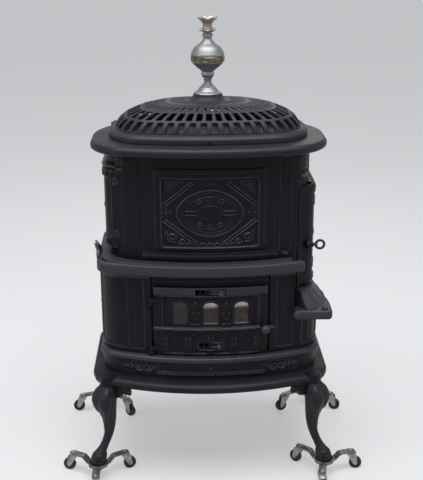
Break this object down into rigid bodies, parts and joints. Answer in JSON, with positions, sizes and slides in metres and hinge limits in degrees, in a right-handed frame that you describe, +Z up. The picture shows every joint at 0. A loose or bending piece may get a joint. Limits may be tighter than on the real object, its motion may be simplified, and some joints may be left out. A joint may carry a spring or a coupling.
{
  "type": "parlour heating stove",
  "caption": "Bowed cast-iron parlour stove on cabriole legs and caster dollies, with a pierced swing dome, turned finial, mica front door and side feed door.",
  "frame": {"origin": "middle of the footprint, on the floor", "axes": "+Z up; -Y out through the front door; +X to the right of someone facing the front, towards the feed door"},
  "size_m": [0.972, 0.7314, 1.4125],
  "materials": {
    "cast_iron_black": "satin stove black over cast iron",
    "iron_polished_edge": "satin, rubbed brighter",
    "nickel_plate": "aged nickel plate",
    "gilt_band": "dull gilt",
    "mica": "smoked mica",
    "sheet_steel": "dull",
    "zinc_plate": "bright zinc plate",
    "black_tyre": "satin"
  },
  "bodies": {
    "stove": {"base_casting": "cast_iron_black", "leg_front_left": "cast_iron_black", "leg_front_right": "cast_iron_black", "leg_back_right": "cast_iron_black", "leg_back_left": "cast_iron_black", "spider_front_left": "zinc_plate", "spider_front_right": "zinc_plate", "spider_back_right": "zinc_plate", "spider_back_left": "zinc_plate", "lower_front_frame": "cast_iron_black", "lower_left_side": "cast_iron_black", "back_casting": "cast_iron_black", "right_side_casting": "cast_iron_black", "belt": "iron_polished_edge", "upper_front_panel": "cast_iron_black", "upper_left_side": "cast_iron_black", "top_plate": "iron_polished_edge", "side_hearth": "iron_polished_edge", "flue_collar": "cast_iron_black", "fire_pot": "cast_iron_black"},
    "dome": {"swing_dome": "cast_iron_black", "finial_base": "nickel_plate", "finial_band": "gilt_band", "finial_urn": "nickel_plate", "finial_flower": "nickel_plate"},
    "cook_lid": {"cook_lid": "cast_iron_black"},
    "front_door": {"front_door": "cast_iron_black", "mica_sheet": "mica", "mica_retainer": "sheet_steel"},
    "check_slide": {"check_slide": "iron_polished_edge"},
    "draft_slide": {"draft_slide": "iron_polished_edge"},
    "door_latch": {"door_latch": "iron_polished_edge"},
    "feed_door": {"feed_door": "cast_iron_black"},
    "feed_ring": {"feed_door_ring": "iron_polished_edge"},
    "grate": {"grate": "cast_iron_black"},
    "ash_pan": {"ash_pan": "sheet_steel"},
    "fork_front_left_1": {"fork_front_left_1": "zinc_plate"},
    "wheel_front_left_1": {"wheel_front_left_1": "black_tyre"},
    "fork_front_left_2": {"fork_front_left_2": "zinc_plate"},
    "wheel_front_left_2": {"wheel_front_left_2": "black_tyre"},
    "fork_front_left_3": {"fork_front_left_3": "zinc_plate"},
    "wheel_front_left_3": {"wheel_front_left_3": "black_tyre"},
    "fork_front_right_1": {"fork_front_right_1": "zinc_plate"},
    "wheel_front_right_1": {"wheel_front_right_1": "black_tyre"},
    "fork_front_right_2": {"fork_front_right_2": "zinc_plate"},
    "wheel_front_right_2": {"wheel_front_right_2": "black_tyre"},
    "fork_front_right_3": {"fork_front_right_3": "zinc_plate"},
    "wheel_front_right_3": {"wheel_front_right_3": "black_tyre"},
    "fork_back_right_1": {"fork_back_right_1": "zinc_plate"},
    "wheel_back_right_1": {"wheel_back_right_1": "black_tyre"},
    "fork_back_right_2": {"fork_back_right_2": "zinc_plate"},
    "wheel_back_right_2": {"wheel_back_right_2": "black_tyre"},
    "fork_back_right_3": {"fork_back_right_3": "zinc_plate"},
    "wheel_back_right_3": {"wheel_back_right_3": "black_tyre"},
    "fork_back_left_1": {"fork_back_left_1": "zinc_plate"},
    "wheel_back_left_1": {"wheel_back_left_1": "black_tyre"},
    "fork_back_left_2": {"fork_back_left_2": "zinc_plate"},
    "wheel_back_left_2": {"wheel_back_left_2": "black_tyre"},
    "fork_back_left_3": {"fork_back_left_3": "zinc_plate"},
    "wheel_back_left_3": {"wheel_back_left_3": "black_tyre"}
  },
  "joints": [
    {"name": "dome_swing", "type": "hinge", "parent": "stove", "child": "dome", "pos_m": [-0.28856, 0.10963, 1.064], "axis": [0, 0, -1], "range_deg": [0, 100]},
    {"name": "cook_lid_lift", "type": "slide", "parent": "stove", "child": "cook_lid", "axis": [0, 0, 1], "range_m": [0, 0.045]},
    {"name": "front_door_swing", "type": "hinge", "parent": "stove", "child": "front_door", "pos_m": [-0.182, -0.21215, 0.5], "axis": [0, 0, -1], "range_deg": [0, 110]},
    {"name": "check_slide_move", "type": "slide", "parent": "front_door", "child": "check_slide", "axis": [-1, 0, 0], "range_m": [0, 0.044]},
    {"name": "draft_slide_move", "type": "slide", "parent": "front_door", "child": "draft_slide", "axis": [-1, 0, 0], "range_m": [0, 0.034]},
    {"name": "door_latch_turn", "type": "hinge", "parent": "front_door", "child": "door_latch", "pos_m": [0.166, -0.21, 0.501], "axis": [0, -1, 0], "range_deg": [0, 90]},
    {"name": "feed_door_swing", "type": "hinge", "parent": "stove", "child": "feed_door", "pos_m": [0.262, 0.187, 0.767], "axis": [0, 0, 1], "range_deg": [0, 100]},
    {"name": "feed_ring_turn", "type": "hinge", "parent": "feed_door", "child": "feed_ring", "pos_m": [0.338, -0.136, 0.74], "axis": [1, 0, 0], "range_deg": [0, 90]},
    {"name": "grate_shake", "type": "hinge", "parent": "stove", "child": "grate", "pos_m": [0, 0, 0.51], "axis": [0, 0, 1], "range_deg": [-15, 15]},
    {"name": "ash_pan_slide", "type": "slide", "parent": "stove", "child": "ash_pan", "axis": [0, -1, 0], "range_m": [0, 0.04]},
    {"name": "swivel_front_left_1", "type": "hinge", "parent": "stove", "child": "fork_front_left_1", "pos_m": [-0.36, -0.329, 0.058], "axis": [0, 0, 1], "continuous": true},
    {"name": "swivel_front_left_2", "type": "hinge", "parent": "stove", "child": "fork_front_left_2", "pos_m": [-0.27859, -0.188, 0.058], "axis": [0, 0, 1], "continuous": true},
    {"name": "swivel_front_left_3", "type": "hinge", "parent": "stove", "child": "fork_front_left_3", "pos_m": [-0.44141, -0.188, 0.058], "axis": [0, 0, 1], "continuous": true},
    {"name": "swivel_front_right_1", "type": "hinge", "parent": "stove", "child": "fork_front_right_1", "pos_m": [0.34046, -0.32695, 0.058], "axis": [0, 0, 1], "continuous": true},
    {"name": "swivel_front_right_2", "type": "hinge", "parent": "stove", "child": "fork_front_right_2", "pos_m": [0.4494, -0.20595, 0.058], "axis": [0, 0, 1], "continuous": true},
    {"name": "swivel_front_right_3", "type": "hinge", "parent": "stove", "child": "fork_front_right_3", "pos_m": [0.29014, -0.1721, 0.058], "axis": [0, 0, 1], "continuous": true},
    {"name": "swivel_back_right_1", "type": "hinge", "parent": "stove", "child": "fork_back_right_1", "pos_m": [0.36, 0.329, 0.058], "axis": [0, 0, 1], "continuous": true},
    {"name": "swivel_back_right_2", "type": "hinge", "parent": "stove", "child": "fork_back_right_2", "pos_m": [0.27859, 0.188, 0.058], "axis": [0, 0, 1], "continuous": true},
    {"name": "swivel_back_right_3", "type": "hinge", "parent": "stove", "child": "fork_back_right_3", "pos_m": [0.44141, 0.188, 0.058], "axis": [0, 0, 1], "continuous": true},
    {"name": "swivel_back_left_1", "type": "hinge", "parent": "stove", "child": "fork_back_left_1", "pos_m": [-0.34046, 0.32695, 0.058], "axis": [0, 0, 1], "continuous": true},
    {"name": "swivel_back_left_2", "type": "hinge", "parent": "stove", "child": "fork_back_left_2", "pos_m": [-0.4494, 0.20595, 0.058], "axis": [0, 0, 1], "continuous": true},
    {"name": "swivel_back_left_3", "type": "hinge", "parent": "stove", "child": "fork_back_left_3", "pos_m": [-0.29014, 0.1721, 0.058], "axis": [0, 0, 1], "continuous": true},
    {"name": "spin_front_left_1", "type": "hinge", "parent": "fork_front_left_1", "child": "wheel_front_left_1", "pos_m": [-0.35586, -0.34446, 0.02], "axis": [0.9659, 0.2588, 0], "continuous": true},
    {"name": "spin_front_left_2", "type": "hinge", "parent": "fork_front_left_2", "child": "wheel_front_left_2", "pos_m": [-0.26356, -0.18253, 0.02], "axis": [-0.342, 0.9397, 0], "continuous": true},
    {"name": "spin_front_left_3", "type": "hinge", "parent": "fork_front_left_3", "child": "wheel_front_left_3", "pos_m": [-0.45686, -0.18386, 0.02], "axis": [-0.2588, -0.9659, 0], "continuous": true},
    {"name": "spin_front_right_1", "type": "hinge", "parent": "fork_front_right_1", "child": "wheel_front_right_1", "pos_m": [0.34268, -0.34279, 0.02], "axis": [0.9903, 0.1392, 0], "continuous": true},
    {"name": "spin_front_right_2", "type": "hinge", "parent": "fork_front_right_2", "child": "wheel_front_right_2", "pos_m": [0.46528, -0.2079, 0.02], "axis": [0.1219, 0.9925, 0], "continuous": true},
    {"name": "spin_front_right_3", "type": "hinge", "parent": "fork_front_right_3", "child": "wheel_front_right_3", "pos_m": [0.27825, -0.1614, 0.02], "axis": [-0.6691, -0.7431, 0], "continuous": true},
    {"name": "spin_back_right_1", "type": "hinge", "parent": "fork_back_right_1", "child": "wheel_back_right_1", "pos_m": [0.35586, 0.34446, 0.02], "axis": [-0.9659, -0.2588, 0], "continuous": true},
    {"name": "spin_back_right_2", "type": "hinge", "parent": "fork_back_right_2", "child": "wheel_back_right_2", "pos_m": [0.26356, 0.18253, 0.02], "axis": [0.342, -0.9397, 0], "continuous": true},
    {"name": "spin_back_right_3", "type": "hinge", "parent": "fork_back_right_3", "child": "wheel_back_right_3", "pos_m": [0.45686, 0.18386, 0.02], "axis": [0.2588, 0.9659, 0], "continuous": true},
    {"name": "spin_back_left_1", "type": "hinge", "parent": "fork_back_left_1", "child": "wheel_back_left_1", "pos_m": [-0.34268, 0.34279, 0.02], "axis": [-0.9903, -0.1392, 0], "continuous": true},
    {"name": "spin_back_left_2", "type": "hinge", "parent": "fork_back_left_2", "child": "wheel_back_left_2", "pos_m": [-0.46528, 0.2079, 0.02], "axis": [-0.1219, -0.9925, 0], "continuous": true},
    {"name": "spin_back_left_3", "type": "hinge", "parent": "fork_back_left_3", "child": "wheel_back_left_3", "pos_m": [-0.27825, 0.1614, 0.02], "axis": [0.6691, 0.7431, 0], "continuous": true}
  ]
}
